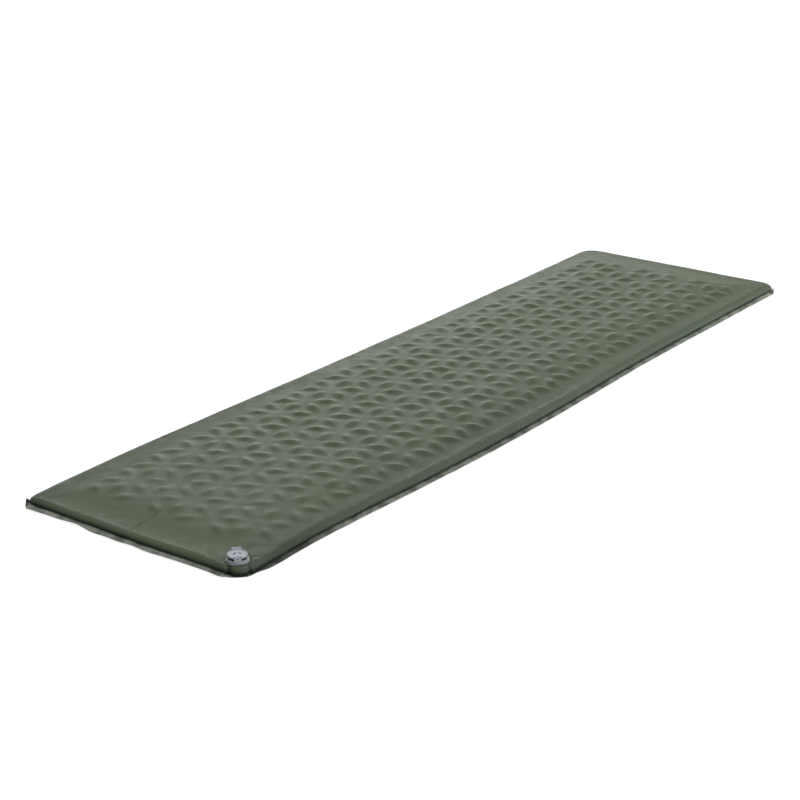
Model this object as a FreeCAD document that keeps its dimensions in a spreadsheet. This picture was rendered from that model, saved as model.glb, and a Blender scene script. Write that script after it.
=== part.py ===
"""Self-inflating sleeping pad with a hinged flat valve, as a parametric document (millimetres).

Frame: X across the pad, Y along it, Z up, origin under the middle of the pad on the ground.
The valve stands in the corner at +X, -Y.  Its pieces are drawn in the valve's own frame:
origin under the valve's axis, local X towards the pad's corner, Z up.
"""
import FreeCAD
import os
import Part
import Sketcher

CLOSE = 0.01    # lengths below this count as nothing when edges are picked out

doc = FreeCAD.newDocument("sleeping_pad")
sizes = doc.addObject("Spreadsheet::Sheet", "Sizes")

# alias, value, meaning
DRIVING = [
    ("padLength", 1830, "overall length with the welded edge"),
    ("padWidth", 500, "overall width with the welded edge"),
    ("padThickness", 30, "inflated thickness"),
    ("skin", 0.5, "thickness of one laminated sheet"),
    ("bondLine", 0.3, "glue film between foam and sheet"),
    ("flangeWidth", 10, "width of the welded edge"),
    ("seamLevel", 9, "height of the weld's inner line"),
    ("flangeEdgeLevel", 3, "height of the welded edge's outer rim"),
    ("slopeRun", 1.3, "length of the weld's slope over the part outside the wall"),
    ("topRound", 13, "radius of the upper edge"),
    ("bottomRound", 7, "radius of the lower edge"),
    ("cornerRound", 16, "corner radius seen from above"),
    ("farCornerRound", 40, "radius of the corner diagonal to the valve's end"),
    ("farCornerCut", 28, "cut of the welded edge at that corner"),
    ("valveCornerCut", 42, "cut of the welded edge at the valve corner"),
    ("wallCornerCut", 26, "cut of the side wall at the valve corner"),
    ("latticePitch", 79.5, "side of the triangles that the foam's slots follow"),
    ("rowPitch", 35.2, "distance between rows of slots"),
    ("slotLength", 36, "length of a slot in the foam"),
    ("slotWidth", 9, "width of a slot in the foam"),
    ("slotTurn", 60, "angle of the slanted slots to the pad's length"),
    ("slotRows", 11, "rows of slots"),
    ("slantedSlots", 42, "slots in a row of slanted ones"),
    ("straightSlots", 21, "slots in a row of lengthwise ones, one less in every second"),
    ("valveX", 212, "valve axis, across"),
    ("valveY", -877, "valve axis, along"),
    ("valveHeading", -45, "direction of the valve's tongue, from +X"),
    ("seatRadius", 21, "flat seat round the valve"),
    ("seatLevel", 21, "height of the seat"),
    ("seatSlope", 22, "run of the slope round the seat"),
    ("seatOverrun", 1.2, "how much longer than that run the seat's cone is, as a factor"),
    ("foamClear", 46, "radius kept free of foam round the valve"),
    ("neckBore", 11.2, "radius inside the neck"),
    ("neckRadius", 12.5, "radius outside the neck"),
    ("neckTop", 28.4, "height of the neck's rim"),
    ("baseFlange", 19.4, "radius of the base's welding flange"),
    ("baseLow", 19, "underside of the base"),
    ("baseHigh", 20.4, "upper side of the welding flange"),
    ("cageRadius", 13, "radius outside the spacer tube"),
    ("cageWall", 1.2, "wall of the spacer tube"),
    ("cageLow", 1, "lower end of the spacer tube"),
    ("cageHigh", 18.9, "upper end of the spacer tube"),
    ("cageFoot", 2.5, "ring left under the tube's windows"),
    ("cageHead", 3, "ring left over the tube's windows"),
    ("collarBore", 12.55, "radius inside the collar"),
    ("collarWall", 16.2, "radius of the collar's wall"),
    ("collarRadius", 18.85, "radius of the collar's foot"),
    ("collarLow", 21.1, "underside of the collar"),
    ("collarShelf", 24.8, "height of the collar's shelf"),
    ("gasketInner", 13.5, "inner radius of the gasket"),
    ("gasketOuter", 17.5, "outer radius of the gasket"),
    ("gasketRecess", 0.3, "depth of the collar's recess for the gasket"),
    ("footBevel", 1.1, "bevel of the collar's foot"),
    ("edgeBreak", 0.3, "small bevel on the plastic edges"),
    ("fitGap", 0.1, "clearance round pieces that sit in a recess"),
    ("sealPlay", 0.05, "clearance of a seal in its groove"),
    ("overrun", 2, "how far cutting shapes run past the material"),
    ("recessRadius", 13.6, "wall radius in the finger recess"),
    ("recessAngle", 116, "angle of the finger recess"),
    ("coreRadius", 11.1, "outer radius of the core"),
    ("coreInner", 9.6, "inner radius of the core's ring"),
    ("coreLow", 20.2, "underside of the core's grille"),
    ("coreFloor", 1.2, "thickness of the core's grille"),
    ("coreHigh", 23.4, "top of the core"),
    ("coreSealLevel", 22.3, "height of the core's seal"),
    ("coreSealRing", 10.75, "ring radius of the core's seal"),
    ("coreSealWire", 0.4, "section radius of the core's seal"),
    ("windowInner", 3.4, "inner end of a grille window"),
    ("windowOuter", 9, "outer end of a grille window"),
    ("windowHalf", 22, "half angle of a grille window"),
    ("windowCount", 6, "windows in the grille, and in the spacer tube"),
    ("flapRadius", 9.4, "radius of the check flap"),
    ("flapThickness", 0.7, "thickness of the check flap"),
    ("flapTop", 20.05, "upper side of the check flap"),
    ("flapHinge", 10, "distance of the flap's hinge line from the axis"),
    ("flapTab", 7, "width of the flap's tab"),
    ("flapTabRoot", 3, "how far the tab runs into the disc"),
    ("lidRadius", 16.65, "radius of the cap"),
    ("lidLow", 28.7, "underside of the cap"),
    ("lidHigh", 31.4, "top of the cap's rim"),
    ("plugLow", 25, "lower end of the plug"),
    ("plugInner", 9.2, "radius inside the plug"),
    ("plugTip", 10.4, "radius outside the plug at its lower end"),
    ("plugRadius", 10.8, "radius outside the plug"),
    ("lidSealLevel", 27.6, "height of the plug's seal"),
    ("lidSealRing", 10.55, "ring radius of the plug's seal"),
    ("lidSealWire", 0.55, "section radius of the plug's seal"),
    ("rimWidth", 2.3, "width of the cap's raised rim"),
    ("rimStep", 0.5, "height of that rim over the cap's face"),
    ("hubRadius", 7.4, "radius of the cap's thicker middle"),
    ("hubDrop", 0.7, "how far that middle hangs below the cap"),
    ("bossRadius", 3.8, "radius of the boss at the root of the tongue"),
    ("arcRadius", 6.25, "outer radius of the arched slot round the boss"),
    ("arcFloor", 29.1, "floor of that slot"),
    ("arcSweep", 206, "angle of that slot"),
    ("tongueWidth", 11.6, "width of the pull tongue"),
    ("tongueReach", 18.1, "reach of the pull tongue from the axis"),
    ("tongueSlope", 5.4, "distance from the cap's edge at which the tongue turns down"),
    ("tongueKnee", 3.9, "the same on the tongue's underside"),
    ("tongueLift", 0.3, "gap under the tongue's tip"),
    ("tongueTip", 0.7, "thickness of the tip"),
    ("tongueHole", 1.35, "radius of the hole in the tongue"),
    ("tongueHoleReach", 14.9, "distance of that hole from the axis"),
    ("notchWidth", 13.2, "width of the collar's notch for the tongue"),
    ("rimNotch", 4, "how far the cap's rim is cut back beside the tongue"),
    ("hingeReach", 20.9, "distance of the hinge from the axis"),
    ("hingeLevel", 29.6, "height of the hinge"),
    ("armRoot", 1.6, "how far the hinge arm runs into the cap"),
    ("armRise", 0.3, "height of the arm over the cap's rim"),
    ("knuckleRadius", 3.3, "radius of the cap's knuckle"),
    ("knuckleWidth", 13.4, "width of the cap's knuckle"),
    ("knucklePlay", 0.5, "room round the knuckle and beside the tongue"),
    ("lugGap", 13.8, "clear width between the lugs"),
    ("lugSpan", 16.4, "width over the lugs"),
    ("lugBack", 2.3, "reach of the lugs behind the hinge"),
    ("lugFront", 3.1, "reach of the lugs in front of the hinge"),
    ("lugTop", 2.1, "height of the lugs over the hinge"),
    ("lugBevel", 1.2, "bevel of the lugs' upper edges"),
    ("lugFoot", 1, "height of the lugs' foot over the collar's underside"),
    ("pinRadius", 0.9, "radius of the hinge pin"),
    ("pinPlay", 0.05, "running clearance of the pin in the knuckle"),
]
sizes.set("A1", "alias")
sizes.set("B1", "value")
sizes.set("C1", "meaning")
for line, (alias, value, meaning) in enumerate(DRIVING, start=2):
    sizes.set(f"A{line}", alias)
    sizes.set(f"B{line}", str(value))
    sizes.set(f"C{line}", meaning)
    sizes.setAlias(f"B{line}", alias)
doc.recompute()


class Names(dict):
    """Turns {alias} in a format string into a reference to the sheet."""

    def __missing__(self, alias):
        return f"Sizes.{alias}"


def ref(text):
    """An expression on the sheet, from text in which {alias} stands for a cell."""
    return str(text).format_map(Names())


def number(text):
    """The present value of such an expression."""
    value = sizes.evalExpression(ref(text))
    return float(getattr(value, "Value", value))


def bind(obj, **expressions):
    """Bind properties of obj to the sheet."""
    for name, text in expressions.items():
        obj.setExpression(name, ref(text))


# ---------------------------------------------------------------- sketches and features

def origin_plane(body, role):
    return next(f for f in body.Origin.OriginFeatures if f.Role == role)


def new_body(label, in_valve_frame=False):
    body = doc.addObject("PartDesign::Body", label)
    body.Label = label
    if in_valve_frame:
        place_in_valve_frame(body)
    return body


def place_in_valve_frame(obj, level="0", reach="0"):
    """Stand obj on the valve's axis, reach along local X from it and level above the ground."""
    heading = FreeCAD.Rotation(FreeCAD.Vector(0, 0, 1), number("{valveHeading}"))
    obj.Placement = FreeCAD.Placement(FreeCAD.Vector(0, 0, 0), heading)
    obj.setExpression("Placement.Base.x", ref("{valveX} + (" + reach + ") * cos({valveHeading} * 1deg)"))
    obj.setExpression("Placement.Base.y", ref("{valveY} + (" + reach + ") * sin({valveHeading} * 1deg)"))
    obj.setExpression("Placement.Base.z", ref(level))


def new_sketch(body, name, role, lift=None):
    sketch = body.newObject("Sketcher::SketchObject", name)
    sketch.AttachmentSupport = (origin_plane(body, role), [""])
    sketch.MapMode = "FlatFace"
    if lift is not None:
        sketch.setExpression("AttachmentOffset.Base.z", ref(lift))
    return sketch


def hold_point(sketch, geometry, end, name, x, y):
    """Tie one point of a sketch to the sketch's origin by two bound distances."""
    for kind, text in (("DistanceX", x), ("DistanceY", y)):
        index = sketch.addConstraint(Sketcher.Constraint(kind, -1, 1, geometry, end, number(text)))
        sketch.renameConstraint(index, f"{name}{kind[-1]}")
        sketch.setExpression(f"Constraints.{name}{kind[-1]}", ref(text))


def polygon(body, name, role, corners, lift=None):
    """A closed outline through the given corners, each a pair of expressions."""
    sketch = new_sketch(body, name, role, lift)
    points = [FreeCAD.Vector(number(x), number(y), 0) for x, y in corners]
    count = len(points)
    for i in range(count):
        sketch.addGeometry(Part.LineSegment(points[i], points[(i + 1) % count]), False)
    for i in range(count):
        sketch.addConstraint(Sketcher.Constraint("Coincident", i, 2, (i + 1) % count, 1))
    for i, (x, y) in enumerate(corners):
        hold_point(sketch, i, 1, f"corner{i}", x, y)
    return sketch


def circle(body, name, role, x, y, radius, lift=None):
    sketch = new_sketch(body, name, role, lift)
    centre = FreeCAD.Vector(number(x), number(y), 0)
    sketch.addGeometry(Part.Circle(centre, FreeCAD.Vector(0, 0, 1), number(radius)), False)
    hold_point(sketch, 0, 3, "centre", x, y)
    index = sketch.addConstraint(Sketcher.Constraint("Radius", 0, number(radius)))
    sketch.renameConstraint(index, "radius")
    sketch.setExpression("Constraints.radius", ref(radius))
    return sketch


def feature(body, kind, name, sketch, **expressions):
    made = body.newObject(f"PartDesign::{kind}", name)
    made.Profile = sketch
    bind(made, **expressions)
    sketch.Visibility = False
    return made


def pad(body, name, sketch, length, both_ways=False, **expressions):
    made = feature(body, "Pad", name, sketch, Length=length, **expressions)
    made.Midplane = both_ways
    return made


def pocket(body, name, sketch, length, both_ways=False):
    made = feature(body, "Pocket", name, sketch, Length=length)
    made.Midplane = both_ways
    return made


def turned(body, name, corners):
    """A revolved solid about the valve's axis, from corners given as radius and height."""
    profile = polygon(body, f"{name}_profile", "XZ_Plane", corners)
    made = feature(body, "Revolution", name, profile)
    made.ReferenceAxis = (profile, ["V_Axis"])
    made.Angle = 360
    return made


def swept_cut(body, name, sketch, angle):
    """Cut the sketch's outline away round the valve's axis, half of the angle to each side."""
    made = feature(body, "Groove", name, sketch, Angle=angle)
    made.ReferenceAxis = (sketch, ["V_Axis"])
    made.Midplane = True


def fillet(body, name, base, radius, chosen):
    """Round the edges of base for which chosen(edge) is true."""
    doc.recompute()
    names = [f"Edge{i}" for i, edge in enumerate(base.Shape.Edges, start=1) if chosen(edge)]
    made = body.newObject("PartDesign::Fillet", name)
    made.Base = (base, names)
    bind(made, Radius=radius)
    return made


def repeat_round(body, name, original, sketch, count):
    """Repeat a feature round the valve's axis."""
    doc.recompute()
    pattern = body.newObject("PartDesign::PolarPattern", name)
    pattern.Originals = [original]
    pattern.Axis = (sketch, ["N_Axis"])
    pattern.Angle = 360
    bind(pattern, Occurrences=count)
    body.Tip = pattern


def two_part(kind, label, base, tool):
    made = doc.addObject(f"Part::{kind}", label)
    made.Label = label
    made.Base = base
    made.Tool = tool
    return made


def primitive(kind, label, **expressions):
    made = doc.addObject(f"Part::{kind}", label)
    made.Label = label
    bind(made, **expressions)
    return made


def flat_at(level):
    """True for an edge that lies in the horizontal plane at the given height."""
    height = number(level)
    return lambda edge: abs(edge.BoundBox.ZMin - height) < CLOSE and edge.BoundBox.ZLength < CLOSE


def upright(edge):
    box = edge.BoundBox
    return box.ZLength > CLOSE and box.XLength < CLOSE and box.YLength < CLOSE


# ---------------------------------------------------------------- the pad's outlines and forms

def wall_outline(inset):
    """Outline of the side wall, drawn in by inset from the outer face of the wall."""
    half_width = "({padWidth} / 2 - {flangeWidth} - (" + inset + "))"
    half_length = "({padLength} / 2 - {flangeWidth} - (" + inset + "))"
    cut = "({wallCornerCut} - (2 - sqrt(2)) * (" + inset + "))"
    return [
        (f"-{half_width}", f"-{half_length}"),
        (f"{half_width} - {cut}", f"-{half_length}"),
        (half_width, f"-{half_length} + {cut}"),
        (half_width, half_length),
        (f"-{half_width}", half_length),
    ]


def weld_outline():
    """Outline of the welded edge, with cut corners at the valve and at the far left."""
    return [
        ("-{padWidth} / 2", "-{padLength} / 2"),
        ("{padWidth} / 2 - {valveCornerCut}", "-{padLength} / 2"),
        ("{padWidth} / 2", "-{padLength} / 2 + {valveCornerCut}"),
        ("{padWidth} / 2", "{padLength} / 2"),
        ("-{padWidth} / 2 + {farCornerCut}", "{padLength} / 2"),
        ("-{padWidth} / 2", "{padLength} / 2 - {farCornerCut}"),
    ]


def wall_form(label, inset, low, high, top_round=None, bottom_round=None):
    """A slab with the side wall's outline, rounded in plan and along its long edges."""
    body = new_body(label)
    outline = polygon(body, f"{label}_outline", "XY_Plane", wall_outline(inset), low)
    last = pad(body, f"{label}_slab", outline, f"({high}) - ({low})")

    def far_corner(edge):
        return upright(edge) and edge.BoundBox.XMin < 0 and edge.BoundBox.YMin > 0

    def other_corner(edge):
        return upright(edge) and not far_corner(edge)

    last = fillet(body, f"{label}_far_corner", last, "{farCornerRound} - (" + inset + ")", far_corner)
    last = fillet(body, f"{label}_corners", last, "{cornerRound} - (" + inset + ")", other_corner)
    if top_round:
        last = fillet(body, f"{label}_top_edge", last, top_round, flat_at(high))
    if bottom_round:
        last = fillet(body, f"{label}_bottom_edge", last, bottom_round, flat_at(low))
    return body


def weld_form(label, drop):
    """The welded edge's sloping upper surface as a solid, lowered by drop.

    The slope goes on inside the side wall, so that it crosses the wall cleanly.
    """
    body = new_body(label)
    base = polygon(body, f"{label}_outline", "XY_Plane", weld_outline(), "{flangeEdgeLevel} - " + drop)
    rise = "({seamLevel} - {flangeEdgeLevel})"
    lean = "-atan({flangeWidth} / " + rise + ")"
    pad(body, f"{label}_slope", base, rise + " * {slopeRun}", TaperAngle=lean)
    return body


def seat_form(label, offset):
    """The hollow round the valve, as a cone, made larger by offset."""
    cone = primitive(
        "Cone",
        label,
        Radius1="{seatRadius} + " + offset,
        Radius2="{seatRadius} + {seatSlope} * {seatOverrun} + " + offset,
        Height="({padThickness} - {seatLevel}) * {seatOverrun}",
    )
    place_in_valve_frame(cone, level="{seatLevel} - " + offset)
    return cone


# ---------------------------------------------------------------- soft pieces

def build_top_sheet():
    outer = wall_form("top_outer", "0", "{flangeEdgeLevel}", "{padThickness}", top_round="{topRound}")
    inner = wall_form(
        "top_inner", "{skin}", "-{overrun}", "{padThickness} - {skin}", top_round="{topRound} - {skin}"
    )
    outer = two_part("Cut", "top_outer_seated", outer, seat_form("seat_outer", "0"))
    inner = two_part("Cut", "top_inner_seated", inner, seat_form("seat_inner", "{skin}"))
    joined = two_part("Fuse", "top_with_edge", outer, weld_form("weld_top", "0"))
    opened = two_part("Cut", "top_opened", joined, weld_form("weld_middle_a", "{skin}"))
    hollow = two_part("Cut", "top_hollow", opened, inner)
    hole = primitive(
        "Cylinder", "neck_hole", Radius="{neckRadius} + {fitGap}", Height="{padThickness}"
    )
    place_in_valve_frame(hole)
    return two_part("Cut", "top_sheet", hollow, hole)


def build_bottom_sheet():
    outer = wall_form("tray_outer", "0", "0", "{padThickness} / 2", bottom_round="{bottomRound}")
    inner = wall_form(
        "tray_inner", "{skin}", "{skin}", "{padThickness}", bottom_round="{bottomRound} - {skin}"
    )
    prism = new_body("tray_prism")
    footing = polygon(prism, "tray_prism_outline", "XY_Plane", weld_outline(), "-{overrun}")
    pad(prism, "tray_prism_slab", footing, "{flangeEdgeLevel} - {skin} + {overrun}")
    under_weld = two_part("Fuse", "under_weld", weld_form("weld_middle_b", "{skin}"), prism)
    tray = two_part("Common", "tray_under_weld", two_part("Cut", "tray_shell", outer, inner), under_weld)
    band = two_part(
        "Cut", "weld_band", weld_form("weld_middle_c", "{skin}"), weld_form("weld_low", "2 * {skin}")
    )
    void = wall_form("weld_void", "{skin}", "-{overrun}", "{padThickness}")
    return two_part("Fuse", "bottom_sheet", tray, two_part("Cut", "weld_ring", band, void))


def slot_places():
    """Centre and direction of each slot: the midpoints of a net of triangles' sides."""
    pitch = number("{latticePitch}")
    row_pitch = number("{rowPitch}")
    turn = number("{slotTurn}")
    rows = round(number("{slotRows}"))
    slanted = round(number("{slantedSlots}"))
    straight = round(number("{straightSlots}"))
    for row in range(rows):
        x = (row - (rows - 1) / 2) * row_pitch
        if row % 2 == 0:
            lean = 1 if row % 4 == 0 else -1
            for k in range(slanted):
                yield x, (k - (slanted - 1) / 2) * pitch / 2, 90 + lean * turn
                lean = -lean
        else:
            count = straight if row % 4 == 1 else straight - 1
            for k in range(count):
                yield x, (k - (count - 1) / 2) * pitch, 90


def build_slot_tools():
    """All the slots as one group of prisms: two lengthwise sides and two round ends each."""
    half = (number("{slotLength}") - number("{slotWidth}")) / 2
    radius = number("{slotWidth}") / 2
    corner = FreeCAD.Vector
    sides = [
        Part.LineSegment(corner(-half, -radius, 0), corner(half, -radius, 0)),
        Part.Arc(corner(half, -radius, 0), corner(half + radius, 0, 0), corner(half, radius, 0)),
        Part.LineSegment(corner(half, radius, 0), corner(-half, radius, 0)),
        Part.Arc(corner(-half, radius, 0), corner(-half - radius, 0, 0), corner(-half, -radius, 0)),
    ]
    outline = Part.Wire([side.toShape() for side in sides])
    prism = Part.Face(outline).extrude(corner(0, 0, number("{padThickness}")))
    prisms = []
    for x, y, angle in slot_places():
        one = prism.copy()
        one.Placement = FreeCAD.Placement(corner(x, y, 0), FreeCAD.Rotation(corner(0, 0, 1), angle))
        prisms.append(one)
    tools = doc.addObject("Part::Feature", "slot_tools")
    tools.Shape = Part.makeCompound(prisms)
    return tools


def build_foam_core():
    clear = "({skin} + {bondLine})"
    block = wall_form(
        "foam_block",
        clear,
        clear,
        "{padThickness} - " + clear,
        top_round="{topRound} - " + clear,
        bottom_round="{bottomRound} - " + clear,
    )
    slotted = two_part("Cut", "foam_slotted", block, build_slot_tools())
    room = primitive("Cylinder", "valve_room", Radius="{foamClear}", Height="{padThickness}")
    place_in_valve_frame(room)
    return two_part("Cut", "foam_core", slotted, room)


# ---------------------------------------------------------------- fixed valve pieces

def build_valve_base():
    body = new_body("valve_base", in_valve_frame=True)
    turned(body, "base_turning", [
        ("{neckBore}", "{baseLow}"),
        ("{baseFlange}", "{baseLow}"),
        ("{baseFlange}", "{baseHigh}"),
        ("{neckRadius}", "{baseHigh}"),
        ("{neckRadius}", "{neckTop}"),
        ("{neckBore}", "{neckTop}"),
    ])
    return body


def build_valve_cage():
    body = new_body("valve_cage", in_valve_frame=True)
    turned(body, "cage_tube", [
        ("{cageRadius} - {cageWall}", "{cageLow}"),
        ("{cageRadius}", "{cageLow}"),
        ("{cageRadius}", "{cageHigh}"),
        ("{cageRadius} - {cageWall}", "{cageHigh}"),
    ])
    window = polygon(body, "cage_window", "XZ_Plane", [
        ("-{cageWall} * 2", "{cageLow} + {cageFoot}"),
        ("{cageWall} * 2", "{cageLow} + {cageFoot}"),
        ("{cageWall} * 2", "{cageHigh} - {cageHead}"),
        ("-{cageWall} * 2", "{cageHigh} - {cageHead}"),
    ])
    cut = pocket(body, "cage_window_cut", window, "{cageRadius} + {overrun}")
    axis = circle(body, "cage_axis", "XY_Plane", "0", "0", "{cageRadius}")
    repeat_round(body, "cage_windows", cut, axis, "{windowCount}")
    return body


def build_collar_gasket():
    body = new_body("collar_gasket", in_valve_frame=True)
    turned(body, "gasket_ring", [
        ("{gasketInner}", "{seatLevel}"),
        ("{gasketOuter}", "{seatLevel}"),
        ("{gasketOuter}", "{collarLow} + {gasketRecess}"),
        ("{gasketInner}", "{collarLow} + {gasketRecess}"),
    ])
    return body


def build_valve_collar():
    body = new_body("valve_collar", in_valve_frame=True)
    turned(body, "collar_turning", [
        ("{collarBore}", "{collarLow}"),
        ("{gasketInner} - {fitGap}", "{collarLow}"),
        ("{gasketInner} - {fitGap}", "{collarLow} + {gasketRecess}"),
        ("{gasketOuter} + {fitGap}", "{collarLow} + {gasketRecess}"),
        ("{gasketOuter} + {fitGap}", "{collarLow}"),
        ("{collarRadius}", "{collarLow}"),
        ("{collarRadius}", "{collarShelf} - {footBevel}"),
        ("{collarRadius} - {footBevel} / 2", "{collarShelf} - {edgeBreak}"),
        ("{collarWall} + {edgeBreak}", "{collarShelf}"),
        ("{collarWall}", "{collarShelf}"),
        ("{collarWall}", "{neckTop} - {edgeBreak}"),
        ("{collarWall} - {edgeBreak}", "{neckTop}"),
        ("{collarBore}", "{neckTop}"),
    ])
    # the lugs are one block behind the wall, parted by the gap for the knuckle
    block = polygon(body, "lug_block", "XZ_Plane", [
        ("-{collarWall} + 2 * {edgeBreak}", "{collarShelf} - {edgeBreak}"),
        ("-{collarRadius} + {edgeBreak}", "{collarLow} + {lugFoot}"),
        ("-{hingeReach} - {lugBack}", "{hingeLevel} - {lugTop}"),
        ("-{hingeReach} - {lugBack}", "{hingeLevel} + {lugTop} - {lugBevel}"),
        ("-{hingeReach} - {lugBack} + {lugBevel}", "{hingeLevel} + {lugTop}"),
        ("-{hingeReach} + {lugFront} - {lugBevel}", "{hingeLevel} + {lugTop}"),
        ("-{hingeReach} + {lugFront}", "{hingeLevel} + {lugTop} - {lugBevel}"),
        ("-{hingeReach} + {lugFront}", "{lidLow} - {lugTop}"),
        ("-{collarWall} + 2 * {edgeBreak}", "{collarShelf} + {lugFoot}"),
    ])
    pad(body, "lugs", block, "{lugSpan}", both_ways=True)
    gap = polygon(body, "lug_gap", "XZ_Plane", [
        ("-{hingeReach} - 2 * {lugBack}", "{hingeLevel} - {knuckleRadius} - {knucklePlay}"),
        ("-{hingeReach} + {lugFront} + {knucklePlay}", "{hingeLevel} - {knuckleRadius} - {knucklePlay}"),
        ("-{hingeReach} + {lugFront} + {knucklePlay}", "{hingeLevel} + 2 * {lugTop}"),
        ("-{hingeReach} - 2 * {lugBack}", "{hingeLevel} + 2 * {lugTop}"),
    ])
    pocket(body, "lug_gap_cut", gap, "{lugGap}", both_ways=True)
    bore = circle(body, "pin_bore", "XZ_Plane", "-{hingeReach}", "{hingeLevel}", "{pinRadius}")
    pocket(body, "pin_bore_cut", bore, "{lugSpan} + {overrun}", both_ways=True)
    recess = polygon(body, "finger_recess", "XZ_Plane", [
        ("{recessRadius}", "{collarShelf}"),
        ("{collarWall} + {overrun}", "{collarShelf}"),
        ("{collarWall} + {overrun}", "{neckTop} + {overrun}"),
        ("{recessRadius}", "{neckTop} + {overrun}"),
    ])
    swept_cut(body, "finger_recess_cut", recess, "{recessAngle}")
    notch = polygon(body, "tongue_notch", "XZ_Plane", [
        ("{collarBore} - {overrun}", "{collarShelf}"),
        ("{collarRadius} + {overrun}", "{collarShelf}"),
        ("{collarRadius} + {overrun}", "{neckTop} + {overrun}"),
        ("{collarBore} - {overrun}", "{neckTop} + {overrun}"),
    ])
    pocket(body, "tongue_notch_cut", notch, "{notchWidth}", both_ways=True)
    return body


def build_valve_core():
    body = new_body("valve_core", in_valve_frame=True)
    groove_in = "{coreSealRing} - {coreSealWire} - {sealPlay}"
    turned(body, "core_turning", [
        ("0", "{coreLow}"),
        ("{coreRadius}", "{coreLow}"),
        ("{coreRadius}", "{coreSealLevel} - {coreSealWire} - {sealPlay}"),
        (groove_in, "{coreSealLevel} - {coreSealWire} - {sealPlay}"),
        (groove_in, "{coreSealLevel} + {coreSealWire} + {sealPlay}"),
        ("{coreRadius}", "{coreSealLevel} + {coreSealWire} + {sealPlay}"),
        ("{coreRadius}", "{coreHigh}"),
        ("{coreInner}", "{coreHigh}"),
        ("{coreInner}", "{coreLow} + {coreFloor}"),
        ("0", "{coreLow} + {coreFloor}"),
    ])
    across = "sin({windowHalf} * 1deg)"
    along = "cos({windowHalf} * 1deg)"
    window = polygon(body, "grille_window", "XY_Plane", [
        ("{windowInner} * " + along, "-{windowInner} * " + across),
        ("{windowOuter} * " + along, "-{windowOuter} * " + across),
        ("{windowOuter} * " + along, "{windowOuter} * " + across),
        ("{windowInner} * " + along, "{windowInner} * " + across),
    ], "{coreLow} + {coreFloor} + {overrun}")
    cut = pocket(body, "grille_window_cut", window, "{coreFloor} + 2 * {overrun}")
    repeat_round(body, "grille", cut, window, "{windowCount}")
    return body


def build_seal(label, ring, wire, level):
    seal = primitive("Torus", label, Radius1=ring, Radius2=wire)
    place_in_valve_frame(seal, level=level)
    return seal


def build_hinge_pin():
    pin = primitive("Cylinder", "hinge_pin", Radius="{pinRadius}", Height="{lugSpan}")
    upright_axis = FreeCAD.Rotation(FreeCAD.Vector(0, 0, 1), number("{valveHeading}"))
    laid_over = FreeCAD.Rotation(FreeCAD.Vector(1, 0, 0), 90)
    pin.Placement = FreeCAD.Placement(FreeCAD.Vector(0, 0, 0), upright_axis.multiply(laid_over))
    heading = "({valveHeading} * 1deg)"
    middle = "{valveX} - {hingeReach} * cos" + heading
    pin.setExpression("Placement.Base.x", ref(middle + " - {lugSpan} / 2 * sin" + heading))
    middle = "{valveY} - {hingeReach} * sin" + heading
    pin.setExpression("Placement.Base.y", ref(middle + " + {lugSpan} / 2 * cos" + heading))
    pin.setExpression("Placement.Base.z", ref("{hingeLevel}"))
    return pin


# ---------------------------------------------------------------- moving valve pieces

def build_check_flap():
    body = new_body("check_flap", in_valve_frame=True)
    low = "{flapTop} - {flapThickness}"
    disc = circle(body, "flap_disc_outline", "XY_Plane", "0", "0", "{flapRadius}", low)
    pad(body, "flap_disc", disc, "{flapThickness}")
    tab = polygon(body, "flap_tab_outline", "XY_Plane", [
        ("-{flapHinge}", "-{flapTab} / 2"),
        ("-{flapRadius} + {flapTabRoot}", "-{flapTab} / 2"),
        ("-{flapRadius} + {flapTabRoot}", "{flapTab} / 2"),
        ("-{flapHinge}", "{flapTab} / 2"),
    ], low)
    pad(body, "flap_tab", tab, "{flapThickness}")
    return body


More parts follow.
